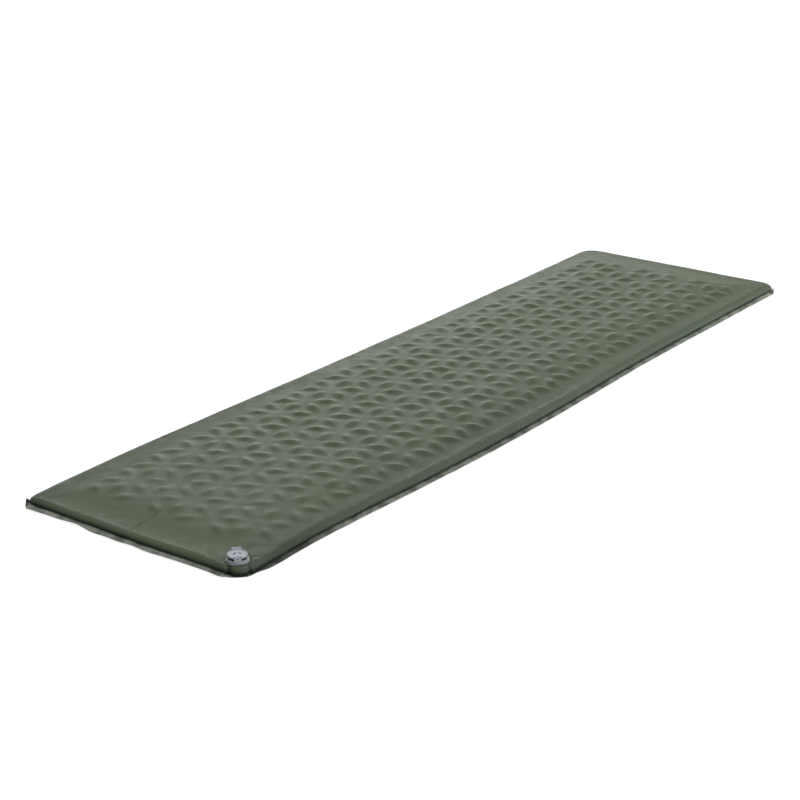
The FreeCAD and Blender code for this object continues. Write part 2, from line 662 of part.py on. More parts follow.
def build_valve_cap():
    body = new_body("valve_cap", in_valve_frame=True)
    groove_in = "{lidSealRing} - {lidSealWire} - {sealPlay}"
    turned(body, "cap_turning", [
        ("0", "{lidLow} - {hubDrop}"),
        ("{hubRadius}", "{lidLow} - {hubDrop}"),
        ("{hubRadius} + {hubDrop}", "{lidLow}"),
        ("{plugInner}", "{lidLow}"),
        ("{plugInner}", "{plugLow}"),
        ("{plugTip}", "{plugLow}"),
        ("{plugRadius}", "{lidSealLevel} - {lidSealWire} - {sealPlay}"),
        (groove_in, "{lidSealLevel} - {lidSealWire} - {sealPlay}"),
        (groove_in, "{lidSealLevel} + {lidSealWire} + {sealPlay}"),
        ("{plugRadius}", "{lidSealLevel} + {lidSealWire} + {sealPlay}"),
        ("{plugRadius}", "{lidLow}"),
        ("{lidRadius} - {edgeBreak}", "{lidLow}"),
        ("{lidRadius}", "{lidLow} + {edgeBreak}"),
        ("{lidRadius}", "{lidHigh} - {edgeBreak}"),
        ("{lidRadius} - {edgeBreak}", "{lidHigh}"),
        ("{lidRadius} - {rimWidth}", "{lidHigh}"),
        ("{lidRadius} - {rimWidth} - {rimStep}", "{lidHigh} - {rimStep}"),
        ("0", "{lidHigh} - {rimStep}"),
    ])
    boss = circle(body, "boss_outline", "XY_Plane", "0", "0", "{bossRadius}", "{lidHigh} - {rimStep}")
    pad(body, "boss", boss, "{rimStep}")
    arc = polygon(body, "arched_slot", "XZ_Plane", [
        ("-{arcRadius}", "{arcFloor}"),
        ("-{bossRadius}", "{arcFloor}"),
        ("-{bossRadius}", "{lidHigh} + {overrun}"),
        ("-{arcRadius}", "{lidHigh} + {overrun}"),
    ])
    swept_cut(body, "arched_slot_cut", arc, "{arcSweep}")
    notch = polygon(body, "rim_notch", "XZ_Plane", [
        ("{lidRadius} - {rimNotch}", "{lidLow} - {hubDrop}"),
        ("{lidRadius} + {overrun}", "{lidLow} - {hubDrop}"),
        ("{lidRadius} + {overrun}", "{lidHigh} + {overrun}"),
        ("{lidRadius} - {rimNotch}", "{lidHigh} + {overrun}"),
    ])
    pocket(body, "rim_notch_cut", notch, "{tongueWidth} + 2 * {knucklePlay}", both_ways=True)
    tongue = polygon(body, "tongue_outline", "XZ_Plane", [
        ("{bossRadius} / 2", "{lidHigh}"),
        ("{lidRadius} - {tongueSlope}", "{lidHigh}"),
        ("{tongueReach}", "{collarShelf} + {tongueLift} + {tongueTip}"),
        ("{tongueReach} - {tongueTip}", "{collarShelf} + {tongueLift}"),
        ("{tongueReach} - 2 * {tongueTip}", "{collarShelf} + {tongueLift}"),
        ("{lidRadius} - {tongueKnee}", "{lidLow} + {tongueLift}"),
        ("{bossRadius} / 2", "{lidLow} + {tongueLift}"),
    ])
    pad(body, "tongue", tongue, "{tongueWidth}", both_ways=True)
    hole = circle(
        body, "tongue_hole", "XY_Plane", "{tongueHoleReach}", "0", "{tongueHole}", "{lidHigh} + {overrun}"
    )
    pocket(body, "tongue_hole_cut", hole, "{lidHigh}")
    arm = polygon(body, "arm_outline", "XZ_Plane", [
        ("-{hingeReach}", "{lidLow} + {armRise}"),
        ("-{lidRadius} + {armRoot}", "{lidLow} + {armRise}"),
        ("-{lidRadius} + {armRoot}", "{lidHigh} + {armRise}"),
        ("-{hingeReach}", "{lidHigh} + {armRise}"),
    ])
    pad(body, "arm", arm, "{knuckleWidth}", both_ways=True)
    barrel = circle(
        body, "knuckle_outline", "XZ_Plane", "-{hingeReach}", "{hingeLevel}", "{knuckleRadius}"
    )
    pad(body, "knuckle", barrel, "{knuckleWidth}", both_ways=True)
    bore = circle(
        body, "knuckle_bore", "XZ_Plane", "-{hingeReach}", "{hingeLevel}", "{pinRadius} + {pinPlay}"
    )
    pocket(body, "knuckle_bore_cut", bore, "{knuckleWidth} + {overrun}", both_ways=True)
    return body


# ---------------------------------------------------------------- build, check and write

SUB_PARTS = [
    build_top_sheet(),
    build_bottom_sheet(),
    build_foam_core(),
    build_valve_base(),
    build_valve_cage(),
    build_collar_gasket(),
    build_valve_collar(),
    build_valve_core(),
    build_seal("core_seal", "{coreSealRing}", "{coreSealWire}", "{coreSealLevel}"),
    build_check_flap(),
    build_valve_cap(),
    build_seal("cap_seal", "{lidSealRing}", "{lidSealWire}", "{lidSealLevel}"),
    build_hinge_pin(),
]
doc.recompute()

for obj in doc.Objects:
    if {"Invalid", "Error"} & set(obj.State):
        raise RuntimeError(f"{obj.Label} failed: {obj.State}")
for part in SUB_PARTS:
    if part.Shape.isNull() or not part.Shape.isValid():
        raise RuntimeError(f"{part.Label} has no valid shape")

os.makedirs("parts", exist_ok=True)
for part in SUB_PARTS:
    part.Shape.exportStep(os.path.join("parts", f"{part.Label}.step"))
    box = part.Shape.BoundBox
    print(
        f"{part.Label:14s} solids {len(part.Shape.Solids)}  volume {part.Shape.Volume:12.1f}  "
        f"X {box.XMin:8.2f} {box.XMax:8.2f}  Y {box.YMin:8.2f} {box.YMax:8.2f}  "
        f"Z {box.ZMin:6.2f} {box.ZMax:6.2f}"
    )
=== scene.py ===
"""The looks of a self-inflating sleeping pad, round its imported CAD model.

Metres, Z up. The pad lies along Y with its valve at the corner +X, -Y. The hard valve is shown as
CAD made it. The two sheets, their welded edge and the foam are made here.
"""
import math

import bpy
import numpy as np
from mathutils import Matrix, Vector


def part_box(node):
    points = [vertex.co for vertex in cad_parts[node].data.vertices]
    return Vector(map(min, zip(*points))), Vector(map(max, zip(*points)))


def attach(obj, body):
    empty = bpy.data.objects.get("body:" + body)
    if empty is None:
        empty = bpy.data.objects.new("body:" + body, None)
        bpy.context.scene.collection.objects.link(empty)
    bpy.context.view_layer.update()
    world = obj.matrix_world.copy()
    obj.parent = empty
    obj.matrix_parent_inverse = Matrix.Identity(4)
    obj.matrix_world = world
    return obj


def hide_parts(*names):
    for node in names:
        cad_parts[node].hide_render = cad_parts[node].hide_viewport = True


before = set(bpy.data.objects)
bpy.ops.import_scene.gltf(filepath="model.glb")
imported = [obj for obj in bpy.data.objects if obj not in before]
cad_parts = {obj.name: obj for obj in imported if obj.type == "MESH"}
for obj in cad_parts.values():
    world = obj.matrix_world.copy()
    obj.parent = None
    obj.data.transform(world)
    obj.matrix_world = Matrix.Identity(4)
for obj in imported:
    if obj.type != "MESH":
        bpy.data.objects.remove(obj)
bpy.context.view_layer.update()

MM = 0.001

# ---------------------------------------------------------------- sizes read from the frame

SHEET_LOW, SHEET_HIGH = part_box("top_sheet")
HALF_WIDTH = (SHEET_HIGH.x - SHEET_LOW.x) / 2
HALF_LENGTH = (SHEET_HIGH.y - SHEET_LOW.y) / 2
TOP = SHEET_HIGH.z
BASE_LOW, BASE_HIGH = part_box("valve_base")
VALVE = np.array([(BASE_LOW.x + BASE_HIGH.x) / 2, (BASE_LOW.y + BASE_HIGH.y) / 2])
FRONT = np.array([math.sqrt(0.5), -math.sqrt(0.5)])     # the way the valve's tongue points
SIDE = np.array([math.sqrt(0.5), math.sqrt(0.5)])
COLLAR_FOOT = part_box("valve_collar")[0].z

# ---------------------------------------------------------------- sizes of the soft shapes

STEP = 3.3 * MM              # length of a mesh cell on the top
WALL = 7.5 * MM              # from the outer rim to the widest part of the side
SEAM = 7.0 * MM              # height of the weld's inner line
EDGE_LEVEL = 3 * MM          # mean height of the welded edge's outer rim
MARGIN = 86 * MM             # from the outer rim to the straight inner grid
BELLY = 14 * MM              # height at which the side is widest
CREST = 22 * MM              # height of the roll along the edge
CREST_IN = 11 * MM           # from the widest part to that roll, along the short sides
LONG_CREST_IN = 16 * MM      # the same along the long sides, which are rounder
ROLL = 0.6 * MM              # how far the short sides' roll stands over the top beside it
RISE_FROM = 16 * MM          # the top climbs to its full height between these two
RISE_TO = 125 * MM           # distances from the widest part
WALL_TUCK = 60               # degrees that the side curls under, down to the seam
TUCK_DEPTH = 3.2 * MM        # how far in the seam lies from the widest part
CORNER = 16 * MM             # corner radius of the wall
FAR_CORNER = 40 * MM         # the same at the corner opposite the valve's
WALL_CUT = 24 * MM           # cut of the wall at the valve's corner
WELD_CUT = 42 * MM           # cut of the welded edge there
# radii of the welded edge's other corners, by their signs in x and y
RIM_ROUNDS = {(-1, -1): 5 * MM, (1, 1): 20 * MM, (-1, 1): 48 * MM}
BAND_HALF = 0.45 * MM        # half the thickness of the welded edge
BAND_ROWS = 7                # rows of its mesh from the rim to the seam
HOLE = 16.5 * MM             # radius of the top's hole, hidden under the collar's foot
SEAT = COLLAR_FOOT - 0.2 * MM        # height of the top under the collar
SEAT_FLAT = 20.5 * MM        # radius of the flat seat there
SEAT_RUN = 100 * MM          # radius at which the top is level again
UNDER_ROUND = 12 * MM        # width of the rounding from the seam down to the floor

FOAM_INSET = 15 * MM         # from the outer rim to the foam's side
FOAM_LOW = 0.8 * MM          # underside of the foam
FOAM_UNDER = 1.0 * MM        # how far the foam lies under the top sheet
FOAM_ROOM = 46 * MM          # radius without foam round the valve
SLOT_DEPTH = 12 * MM         # depth of the pits over its slots

LATTICE = 79.5 * MM          # side of the triangles whose mid-points carry the bulges
ROW = 35.2 * MM              # distance between the rows of bulges
ROWS = 11                    # number of rows
ROW_COUNT = 21               # triangles along the longest row
BULGE_LONG = 21.5 * MM       # half length of a bulge
BULGE_WIDE = 12 * MM         # half width of a bulge
BULGE_HIGH = 4.4 * MM        # height of a bulge
BULGE_BLUNT = 0.45           # how blunt its crest is
RIB_PITCH = 4.5 * MM         # pitch of the cloth's faint ribs
RIB_TURN = math.radians(37)  # their direction from +X
THREAD = 0.55 * MM           # pitch of the cloth's threads
GATHER_PITCH = 5.0 * MM      # pitch of the gathers along the long edges
SLOT_HALF = 13.5 * MM        # half the straight part of a slot in the foam
SLOT_ROUND = 4.5 * MM        # radius of its ends
# painted sheen: a grey tint on the long sides' walls, like the sheen on the top
PAINTED_WALL_SHEEN = (1.02, 1, 1.17, 1)   # makes the long sides' walls greyer than the top
WAVE_UNIT = 0.314            # scale at which a wave texture repeats once per unit

# signs of a corner, then how deep it sinks and how far that reaches, in mm
SUNK_CORNERS = ((-1, -1, 10, 52), (1, 1, 7, 38))
# signs of a corner with an ear, then the ear's reach, height and inward tilt, in mm
EARS = ((-1, -1, 14, 12, 6), (1, 1, 27, 7, 3))
# folds across the back edge: place along y in metres, and depth in mm
BACK_FOLDS = ((0.004, 0.8), (0.331, 0.7), (0.602, 0.9))
# creases that fan out from the valve: degrees from its tongue, depth in mm, half width in degrees
FAN = ((52, 1.5, 8), (74, 1.1, 8), (100, 0.8, 9), (-58, 1.3, 8), (-84, 0.9, 9), (150, 0.7, 9))
# the sheet in front of the spacer tube: place aside in mm, push outwards in mm, half width in mm
TUBE_FOLDS = ((2, 1.6, 13), (-15, -7.5, 6.5), (18, -6.5, 5), (28, -2.5, 4.5))


# ---------------------------------------------------------------- small numeric helpers

def smooth(x, low, high):
    """0 up to low, 1 from high on, with a smooth rise between them."""
    t = np.clip((x - low) / (high - low), 0, 1)
    return t * t * (3 - 2 * t)


def bell(x, half):
    """1 at x = 0, falling smoothly to 0 at half."""
    return np.clip(1 - (x / half) ** 2, 0, None) ** 2


def waves(seed, shortest, longest, count=24):
    """A smooth random function of one number, about -1 to 1."""
    rng = np.random.default_rng(seed)
    lengths = np.exp(rng.uniform(math.log(shortest), math.log(longest), count))
    phases = rng.uniform(0, 2 * math.pi, count)
    sizes = np.sqrt(lengths / longest)

    def value(s):
        total = sum(
            a * np.sin(2 * math.pi * s / length + phase)
            for a, length, phase in zip(sizes, lengths, phases)
        )
        return total / (1.4 * np.sqrt((sizes ** 2).sum()))

    return value


def field(seed, shortest, longest, count=28):
    """A smooth random function of x and y, about -1 to 1."""
    rng = np.random.default_rng(seed)
    lengths = np.exp(rng.uniform(math.log(shortest), math.log(longest), count))
    headings = rng.uniform(0, math.pi, count)
    phases = rng.uniform(0, 2 * math.pi, count)
    sizes = np.sqrt(lengths / longest)

    def value(x, y):
        total = sum(
            a * np.sin(2 * math.pi * (x * math.cos(h) + y * math.sin(h)) / length + phase)
            for a, length, h, phase in zip(sizes, lengths, headings, phases)
        )
        return total / (1.4 * np.sqrt((sizes ** 2).sum()))

    return value


# ---------------------------------------------------------------- outlines and rings

def positions(half, step):
    """Mesh lines from -1 to 1 for a side of the given half length."""
    return np.linspace(-1, 1, 2 * round(half / step) + 1)


class Outline:
    """Closed rings round the pad, numbered alike, so that they can be joined row by row."""

    def __init__(self, step):
        self.inner_x = HALF_WIDTH - MARGIN
        self.inner_y = HALF_LENGTH - MARGIN
        self.across = positions(self.inner_x, step)
        self.along = positions(self.inner_y, step)
        self.nx, self.ny = len(self.across) - 1, len(self.along) - 1
        unit = [(x, -1) for x in self.across[:-1]]
        unit += [(1, y) for y in self.along[:-1]]
        unit += [(x, 1) for x in self.across[:0:-1]]
        unit += [(-1, y) for y in self.along[:0:-1]]
        self.unit = np.array(unit, float)
        self.count = len(unit)
        closed = self.box(0)
        gaps = np.linalg.norm(np.roll(closed, -1, axis=0) - closed, axis=1)
        self.run = np.concatenate([[0], np.cumsum(gaps)[:-1]])

    def half(self, inset):
        """Half the width and length of a ring."""
        return np.array([HALF_WIDTH, HALF_LENGTH]) - inset

    def box(self, inset):
        """A ring with square corners."""
        return self.unit * self.half(inset)

    def ring(self, inset, rounds, cut):
        """The outline drawn in by inset. A corner's signs give its radius in rounds, and cut is
        how much is cut off at the valve's corner."""
        flat = self.box(inset)
        half = self.half(inset)
        points = flat.copy()
        for (sx, sy), radius in rounds.items():
            radius = max(radius, 0.5 * MM)
            signs = np.array([sx, sy])
            gap = half - flat * signs
            low_side = (gap[:, 1] < 1e-9) & (gap[:, 0] < radius)
            up_side = (gap[:, 0] < 1e-9) & (gap[:, 1] < radius) & ~low_side
            centre = half - radius
            for chosen, near, swap in ((low_side, 0, False), (up_side, 1, True)):
                turn = (1 - gap[chosen, near] / radius) * math.pi / 4
                arc = np.stack([np.sin(turn), np.cos(turn)], axis=1) * radius
                if swap:
                    arc = arc[:, ::-1]
                points[chosen] = (centre + arc) * signs
        if cut > 0:
            signs = np.array([1, -1])
            gap = half - flat * signs
            for axis in (0, 1):
                other = 1 - axis
                chosen = (gap[:, other] < 1e-9) & (gap[:, axis] < cut)
                part = 1 - gap[chosen, axis] / cut
                moved = np.empty((chosen.sum(), 2))
                moved[:, axis] = half[axis] - cut * (1 - part / 2)
                moved[:, other] = half[other] - cut * part / 2
                points[chosen] = moved * signs
        return softened(points, half * [1, -1])

    def wall(self, inset):
        """A ring parallel to the side wall."""
        inward = inset - WALL
        rounds = {
            (-1, -1): CORNER - inward,
            (1, 1): CORNER - inward,
            (-1, 1): FAR_CORNER - inward,
        }
        return self.ring(inset, rounds, WALL_CUT - (2 - math.sqrt(2)) * inward)

    def rim(self):
        """The welded edge's outer rim before it is made wavy."""
        return self.ring(0, RIM_ROUNDS, WELD_CUT)


def softened(points, corner):
    """Rounds the cut corner's two edges a little by averaging neighbours there."""
    near = smooth(-np.linalg.norm(points - corner, axis=1), -70 * MM, -50 * MM)[:, None]
    for _ in range(6):
        mean = (np.roll(points, 1, axis=0) + np.roll(points, -1, axis=0) + 2 * points) / 4
        points = points + (mean - points) * near
    return points


def near_valve(points):
    """1 in the corner under the valve, where the weld is folded away, and 0 elsewhere."""
    offset = points - VALVE
    aside = offset @ SIDE
    near = smooth(-np.linalg.norm(offset, axis=1), -95 * MM, -70 * MM)
    return near * smooth(aside, -27 * MM, -14 * MM) * smooth(-aside, -58 * MM, -24 * MM)


def outward(ring):
    """Unit vectors that point out of a ring."""
    along = np.roll(ring, -1, axis=0) - np.roll(ring, 1, axis=0)
    normal = np.stack([along[:, 1], -along[:, 0]], axis=1)
    return normal / np.linalg.norm(normal, axis=1)[:, None]


def level(points, height):
    """Flat points given a height, or one height each."""
    return np.column_stack([points, np.broadcast_to(height, len(points))])


def settled(vertices):
    """The soft pad doesn't lie quite square: its long sides bow and its far end is askew."""
    x, y = vertices[:, 0], vertices[:, 1]
    side = np.clip(x / HALF_WIDTH, -1, 1) / 2 + 0.5     # 0 at the back side, 1 at the front one
    front = (15 * bell(y + 0.17, 0.6) - 4.5) * MM
    back = (7 * bell(y - 0.2, 0.85) + 5 * smooth(-y, 0.6, HALF_LENGTH) - 8) * MM
    free = smooth(np.hypot(x - VALVE[0], y - VALVE[1]), 60 * MM, 190 * MM)
    askew = 0.05 * x * smooth(y, 0.3, HALF_LENGTH)
    askew += 11 * MM * smooth(y, 0.5, HALF_LENGTH) - 2.5 * MM * smooth(-y, 0.5, HALF_LENGTH)
    moved = vertices.copy()
    moved[:, 0] += (front * side + back * (1 - side)) * free
    moved[:, 1] += askew * free
    return moved


# ---------------------------------------------------------------- building blocks for meshes

def new_object(name, vertices, faces, smooth_shaded=True):
    """A mesh object in the scene."""
    mesh = bpy.data.meshes.new(name)
    mesh.from_pydata([tuple(v) for v in vertices], [], [tuple(f) for f in faces])
    mesh.validate()
    mesh.update()
    if smooth_shaded:
        mesh.shade_smooth()
    made = bpy.data.objects.new(name, mesh)
    bpy.context.scene.collection.objects.link(made)
    return made


def band_faces(count, first, second):
    """Quads between two closed rows of vertices that start at first and second."""
    index = np.arange(count)
    after = (index + 1) % count
    corners = [first + index, first + after, second + after, second + index]
    return np.column_stack(corners).tolist()


def grid_faces(nx, ny, start, boundary):
    """Quads of the inner grid, whose outermost vertices are the last ring's."""
    number = -np.ones((ny + 1, nx + 1), int)
    number[1:-1, 1:-1] = start + np.arange((ny - 1) * (nx - 1)).reshape(ny - 1, nx - 1)
    walk = [(0, i) for i in range(nx)]
    walk += [(j, nx) for j in range(ny)]
    walk += [(ny, i) for i in range(nx, 0, -1)]
    walk += [(j, 0) for j in range(ny, 0, -1)]
    for k, (j, i) in enumerate(walk):
        number[j, i] = boundary + k
    quads = np.stack(
        [number[:-1, :-1], number[:-1, 1:], number[1:, 1:], number[1:, :-1]], axis=-1
    )
    return quads.reshape(-1, 4).tolist()


def sheet_mesh(outline, rings, low_side=False):
    """Vertices and faces of a sheet: closed rings from the outside in, then the inner grid."""
    count = outline.count
    vertices = np.concatenate(rings)
    faces = []
    for row in range(len(rings) - 1):
        faces += band_faces(count, row * count, (row + 1) * count)
    gx = outline.across[1:-1] * outline.inner_x
    gy = outline.along[1:-1] * outline.inner_y
    inner = np.stack(np.meshgrid(gx, gy), axis=-1).reshape(-1, 2)
    height = rings[-1][:, 2].mean()
    start = len(vertices)
    faces += grid_faces(outline.nx, outline.ny, start, (len(rings) - 1) * count)
    vertices = np.concatenate([vertices, level(inner, height)])
    if low_side:
        faces = [face[::-1] for face in faces]
    return vertices, faces


# ---------------------------------------------------------------- the top fabric

def bulge_places():
    """Centre and direction (degrees from +X) of each bulge over a slot in the foam."""
    places = []
    for row in range(ROWS):
        x = (row - (ROWS - 1) / 2) * ROW
        if row % 2 == 0:
            lean = 1 if row % 4 == 0 else -1
            for k in range(2 * ROW_COUNT):
                y = (k - (2 * ROW_COUNT - 1) / 2) * LATTICE / 2
                places.append((x, y, 90 + 60 * lean))
                lean = -lean
        else:
            count = ROW_COUNT if row % 4 == 1 else ROW_COUNT - 1
            places += [(x, (k - (count - 1) / 2) * LATTICE, 90) for k in range(count)]
    return places


def drifted(x, y):
    """The pattern lies a little askew on the pad, and closer together towards the valve end."""
    shift_x = 15 - 10 * smooth(y, -0.85, 0.25)
    shift_y = -4 - 9.5 * smooth(y, -0.8, -0.1)
    return x + shift_x * MM, y + shift_y * MM


def bulges(x, y):
    """Height of the fabric over the slots, where the foam doesn't hold it down."""
    rng = np.random.default_rng(4)
    height = np.zeros_like(x)
    for cx, cy, turn in bulge_places():
        size = 1 + rng.uniform(-0.14, 0.14)
        turn = math.radians(turn + rng.uniform(-4, 4))
        cx, cy = drifted(cx + rng.uniform(-1, 1) * MM, cy + rng.uniform(-1, 1) * MM)
        near = np.flatnonzero((abs(x - cx) < BULGE_LONG) & (abs(y - cy) < BULGE_LONG))
        dx, dy = x[near] - cx, y[near] - cy
        along = (dx * math.cos(turn) + dy * math.sin(turn)) / BULGE_LONG
        across = (dy * math.cos(turn) - dx * math.sin(turn)) / BULGE_WIDE
        out = np.sqrt(along ** 2 + across ** 2 + BULGE_BLUNT ** 2) - BULGE_BLUNT
        size *= 0.54 + 0.46 * smooth(cy, -0.8, -0.3)
        height[near] += BULGE_HIGH * size * np.clip(1 - out, 0, 1) ** 2
    return height


def slot_mask(x, y):
    """1 over the slots in the foam, and 0 elsewhere."""
    mask = np.zeros_like(x)
    for cx, cy, turn in bulge_places():
        turn = math.radians(turn)
        cx, cy = drifted(cx, cy)
        near = np.flatnonzero((abs(x - cx) < BULGE_LONG) & (abs(y - cy) < BULGE_LONG))
        dx, dy = x[near] - cx, y[near] - cy
        along = dx * math.cos(turn) + dy * math.sin(turn)
        across = dy * math.cos(turn) - dx * math.sin(turn)
        past = np.clip(abs(along) - SLOT_HALF, 0, None)
        mask[near] = np.maximum(mask[near], np.hypot(past, across) < SLOT_ROUND)
    return mask


def pleats(x, y):
    """Gathers that run in from the long edges, where the sheet is welded a little short."""
    height = np.zeros_like(x)
    rng = np.random.default_rng(11)
    for side in (-1, 1):
        place = -HALF_LENGTH + 150 * MM
        while place < HALF_LENGTH - 30 * MM:
            place += rng.uniform(8, 20) * MM
            reach = rng.uniform(14, 40) * MM
            width = rng.uniform(3.3, 5.2) * MM
            strength = rng.uniform(0.3, 0.9) * MM * (1.5 if place > -0.3 else 0.8)
            lean = rng.uniform(-0.3, 0.3)
            inward = HALF_WIDTH - WALL - side * x
            centre = place + lean * inward
            near = np.flatnonzero((abs(y - centre) < width) & (inward < reach))
            fade = np.clip(1 - inward[near] / reach, 0, 1)
            height[near] -= strength * bell(y[near] - centre[near], width) * fade
    return height


def corner_drop(x, y):
    """How far the top sinks where the sheets are pinched: two corners and the valve's end."""
    drop = np.zeros_like(x)
    for sx, sy, depth, reach in SUNK_CORNERS:
        gap = np.hypot(x - sx * HALF_WIDTH, y - sy * HALF_LENGTH)
        drop = np.maximum(drop, depth * MM * bell(gap, reach * MM))
    near_end = smooth(-y, HALF_LENGTH - 85 * MM, HALF_LENGTH - 15 * MM)
    off_valve = smooth(np.hypot(x - VALVE[0], y - VALVE[1]), 45 * MM, 120 * MM)
    return np.maximum(drop, 4 * MM * near_end * off_valve)


def shape_top(vertices):
    """Everything that the plain swollen slab lacks, from bulges to the seat of the valve."""
    x, y, z = vertices.T.copy()
    plain = z.copy()
    upper = smooth(z, BELLY + 4 * MM, CREST + 1 * MM)
    lift = bulges(x, y)
    lift += 0.35 * MM * field(2, 0.12, 0.7)(x, y) + 0.35 * MM
    lift += 0.10 * MM * field(3, 0.02, 0.06)(x, y)
    # a shallow crease on the middle line at the valve end
    middle = smooth(-y, HALF_LENGTH - 110 * MM, HALF_LENGTH - 60 * MM)
    lift -= 1.1 * MM * bell(x + 1.5 * MM * np.sin(y / (9 * MM)), 5 * MM) * middle
    for place, size in BACK_FOLDS:
        reach = smooth(-x, HALF_WIDTH - 62 * MM, HALF_WIDTH - 25 * MM)
        lift -= size * MM * bell(y - place - 0.12 * (x + HALF_WIDTH), 4.5 * MM) * reach
    z = z + upper * lift + pleats(x, y) * smooth(z, SEAM, TOP - 6 * MM)
    z = z - corner_drop(x, y) * smooth(plain, SEAM, TOP)
    return seated(x, y, z, plain)


def seated(x, y, z, plain):
    """The top shaped round the valve; plain is its height before any shaping."""
    # the sheet slopes down from all round to the seat, and dips just outside the collar
    offset = np.column_stack([x, y]) - VALVE
    radius = np.hypot(*offset.T)
    ahead = offset @ FRONT
    aside = offset @ SIDE
    rise = smooth(radius, SEAT_FLAT, SEAT_RUN)
    z = np.where(z > SEAT, SEAT + (z - SEAT) * rise, z)
    z = z - 1.5 * MM * bell(radius - SEAT_FLAT, 3.5 * MM) * smooth(z, 17 * MM, 20 * MM)
    heading = np.arctan2(aside, ahead)
    fan = np.zeros_like(z)
    for turn, size, width in FAN:
        miss = (heading - math.radians(turn) + math.pi) % (2 * math.pi) - math.pi
        fan += size * MM * bell(miss, math.radians(width))
    ringed = smooth(radius, 20 * MM, 26 * MM) * smooth(-radius, -56 * MM, -34 * MM)
    z = z - fan * ringed * smooth(plain, SEAM, 18 * MM)
    # under the valve the sheet is stretched over the spacer tube, with creases beside it
    tube = np.zeros_like(z)
    for place, push, width in TUBE_FOLDS:
        tube += push * MM * bell(aside - place * MM, width * MM)
    front = smooth(ahead, 8 * MM, 16 * MM) * smooth(-z, -22 * MM, -18 * MM)
    moved = np.column_stack([x, y, z])
    moved[:, :2] += (tube * front)[:, None] * FRONT
    return moved


def swollen(inward, points):
    """Height of the top at points that lie inward from the widest part of the side."""
    gap_x, gap_y = HALF_WIDTH - abs(points[:, 0]), HALF_LENGTH - abs(points[:, 1])
    long_side = smooth(gap_y - gap_x, -10 * MM, 45 * MM)
    crest_in = CREST_IN + (LONG_CREST_IN - CREST_IN) * long_side
    side = np.sqrt(1 - np.clip(1 - inward / crest_in, 0, 1) ** 2)
    climb = smooth(inward, RISE_FROM, RISE_TO)
    roll = bell(inward - 0.7 * CREST_IN, 9 * MM) * (1 - 0.8 * long_side)
    return BELLY + (CREST - BELLY) * side + (TOP - CREST) * climb + ROLL * roll


def raise_inside(inner):
    """Heights for the inner grid, where the top still climbs a little."""
    gap = np.minimum(HALF_WIDTH - abs(inner[:, 0]), HALF_LENGTH - abs(inner[:, 1]))
    inner[:, 2] = swollen(gap - WALL, inner)


def top_fabric(outline):
    """The upper sheet: its side wall from the seam up, the roll over it and the whole top."""
    rings = []
    run = outline.run
    gather = waves(21, 0.011, 0.045)(run) * 0.5 * MM
    slow = waves(22, 0.08, 0.5)(run) * 0.6 * MM
    folded = near_valve(outline.wall(WALL))
    free = 1 - 0.7 * folded
    seam = SEAM * (1 - folded) + 1.6 * MM * folded
    low = math.radians(WALL_TUCK)
    for turn in np.linspace(-low, 0, 7)[:-1]:
        tuck = TUCK_DEPTH * (1 - math.cos(turn)) / (1 - math.cos(low))
        ring = outline.wall(WALL + tuck)
        drawn = gather * -turn / low + slow
        ring = ring + outward(ring) * (drawn * free)[:, None]
        rings.append(level(ring, BELLY + (BELLY - seam) * math.sin(turn) / math.sin(low)))
    reach = MARGIN - WALL
    for part in np.linspace(0, 1, 34):
        inward = reach * part ** 1.5
        ring = outline.wall(WALL + inward)
        ring = ring + outward(ring) * (slow * free * bell(inward, 15 * MM))[:, None]
        rings.append(level(ring, swollen(inward, ring)))
    rings[-1][:, :2] = outline.unit * [outline.inner_x, outline.inner_y]
    vertices, faces = sheet_mesh(outline, rings)
    raise_inside(vertices[len(rings) * outline.count:])
    vertices = shape_top(vertices)
    radius = np.linalg.norm(vertices[:, :2] - VALVE, axis=1)
    kept = [f for f in faces if max(radius[i] for i in f) > HOLE]
    made = new_object("top_fabric", settled(vertices), kept)
    made.data.materials.append(FABRIC_TOP)
    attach(made, "pad")
    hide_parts("top_sheet")


# ---------------------------------------------------------------- the welded edge

